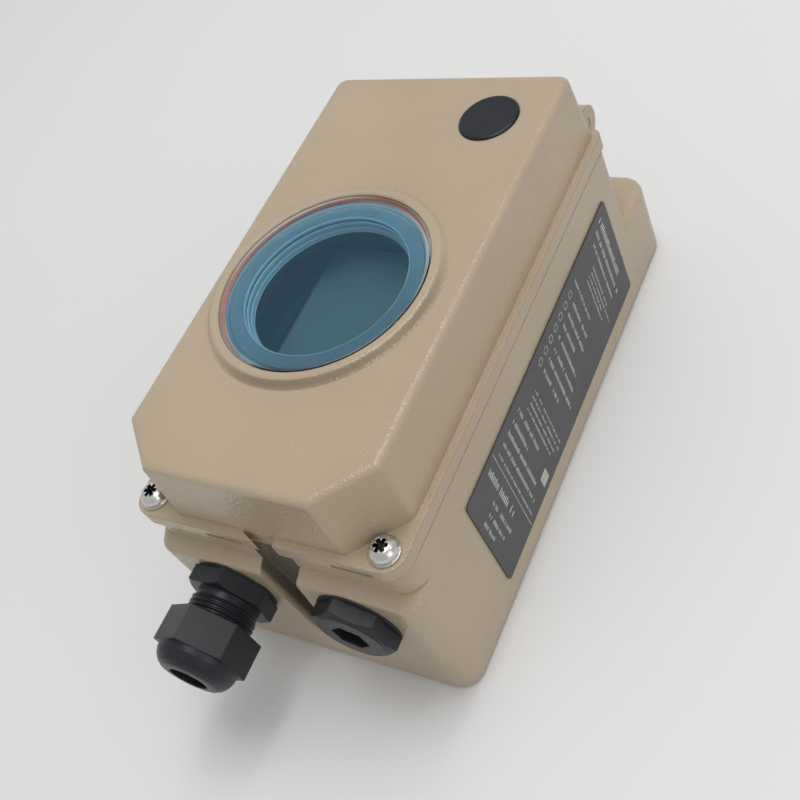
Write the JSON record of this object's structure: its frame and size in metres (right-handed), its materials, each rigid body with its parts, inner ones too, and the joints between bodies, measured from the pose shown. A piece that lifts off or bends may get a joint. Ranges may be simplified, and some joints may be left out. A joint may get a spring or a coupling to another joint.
{
  "type": "valve positioner",
  "caption": "Electropneumatic valve positioner in a cast housing with a hinged windowed cover, cable gland, blanking plug, rear feedback lever and threaded air ports.",
  "frame": {"origin": "middle of the four mounting posts, in the mounting plane at the rear", "axes": "+Z out of the front face, +Y from the cable entries to the hinge, +X to the rating plate"},
  "size_m": [0.0893, 0.2057, 0.0898],
  "materials": {
    "cast_paint": "satin powder coat over die casting",
    "black_polyamide": "satin moulded",
    "bright_steel": "bright stainless",
    "black_rubber": "matt",
    "red_rubber": "matt",
    "window_glass": "polished",
    "blue_film": "thin film",
    "badge_black": "satin",
    "plate_grey": "printed foil",
    "panel_black": "fine texture",
    "display_grey": "display glass",
    "light_plastic": "moulded",
    "orange_plastic": "moulded",
    "board_green": "solder mask",
    "terminal_green": "moulded",
    "aluminium": "machined",
    "bronze": "sintered"
  },
  "bodies": {
    "base": {"base_housing": "cast_paint", "cover_gasket": "black_rubber", "hinge_pins": "bright_steel", "rating_plate": "plate_grey", "gland_washer": "black_rubber", "gland_body": "black_polyamide", "plug_washer": "black_rubber", "blanking_plug": "black_polyamide", "display_panel": "panel_black", "display_glass": "display_grey", "display_frame": "light_plastic", "circuit_board": "board_green", "panel_screws": "bright_steel", "terminal_block": "terminal_green", "terminal_screws": "bright_steel", "encoder_body": "black_polyamide", "action_switch_body": "black_polyamide", "restrictor_body": "black_polyamide", "air_manifold": "aluminium", "manifold_screws": "bright_steel", "port_seals": "black_rubber", "signal_converter": "aluminium", "air_booster": "aluminium", "shaft_bush": "bronze", "sensor_board": "board_green", "sensor_bracket": "aluminium", "vent_filter": "bronze"},
    "cover": {"front_cover": "cast_paint", "window_gasket": "red_rubber", "window_glass": "window_glass", "protective_film": "blue_film", "badge_disc": "badge_black", "cover_screws": "bright_steel", "screw_washers": "bright_steel"},
    "knob_stem": {"encoder_stem": "bright_steel"},
    "knob": {"push_knob": "black_polyamide"},
    "action_slider": {"action_switch_slider": "light_plastic"},
    "restrictor": {"restrictor_slider": "orange_plastic"},
    "feedback": {"feedback_shaft": "bright_steel", "retaining_ring": "bright_steel", "sensor_magnet": "bright_steel", "feedback_lever": "bright_steel", "follower_pin": "bright_steel", "pin_nut": "bright_steel", "disc_spring": "bright_steel", "lever_nut": "bright_steel"},
    "gland_insert": {"gland_seal": "black_rubber"},
    "gland_cap": {"gland_nut": "black_polyamide"}
  },
  "joints": [
    {"name": "cover_hinge", "type": "hinge", "parent": "base", "child": "cover", "pos_m": [0, 0.079, 0.0652], "axis": [-1, 0, 0], "range_deg": [0, 105]},
    {"name": "knob_press", "type": "slide", "parent": "base", "child": "knob_stem", "axis": [0, 0, -1], "range_m": [0, 0.001], "stiffness_N_per_m": 600, "springref_m": -0.001},
    {"name": "knob_turn", "type": "hinge", "parent": "knob_stem", "child": "knob", "pos_m": [0.018, 0.042, 0.075], "axis": [0, 0, 1], "continuous": true},
    {"name": "action_switch_slide", "type": "slide", "parent": "base", "child": "action_slider", "axis": [1, 0, 0], "range_m": [0, 0.004]},
    {"name": "restrictor_slide", "type": "slide", "parent": "base", "child": "restrictor", "axis": [1, 0, 0], "range_m": [0, 0.004]},
    {"name": "lever_swing", "type": "hinge", "parent": "base", "child": "feedback", "pos_m": [-0.024, 0.005, 0.009], "axis": [0, 0, 1], "range_deg": [-30, 30]},
    {"name": "gland_seal_slide", "type": "slide", "parent": "base", "child": "gland_insert", "axis": [0, 1, 0], "range_m": [0, 0.003]},
    {"name": "gland_nut_turn", "type": "hinge", "parent": "gland_insert", "child": "gland_cap", "pos_m": [-0.0212, -0.1, 0.0365], "axis": [0, 1, 0], "range_deg": [0, 720]}
  ],
  "couplings": [
    {"joint": "gland_nut_turn", "follows": "gland_seal_slide", "rad_per_m": 4188.7}
  ]
}
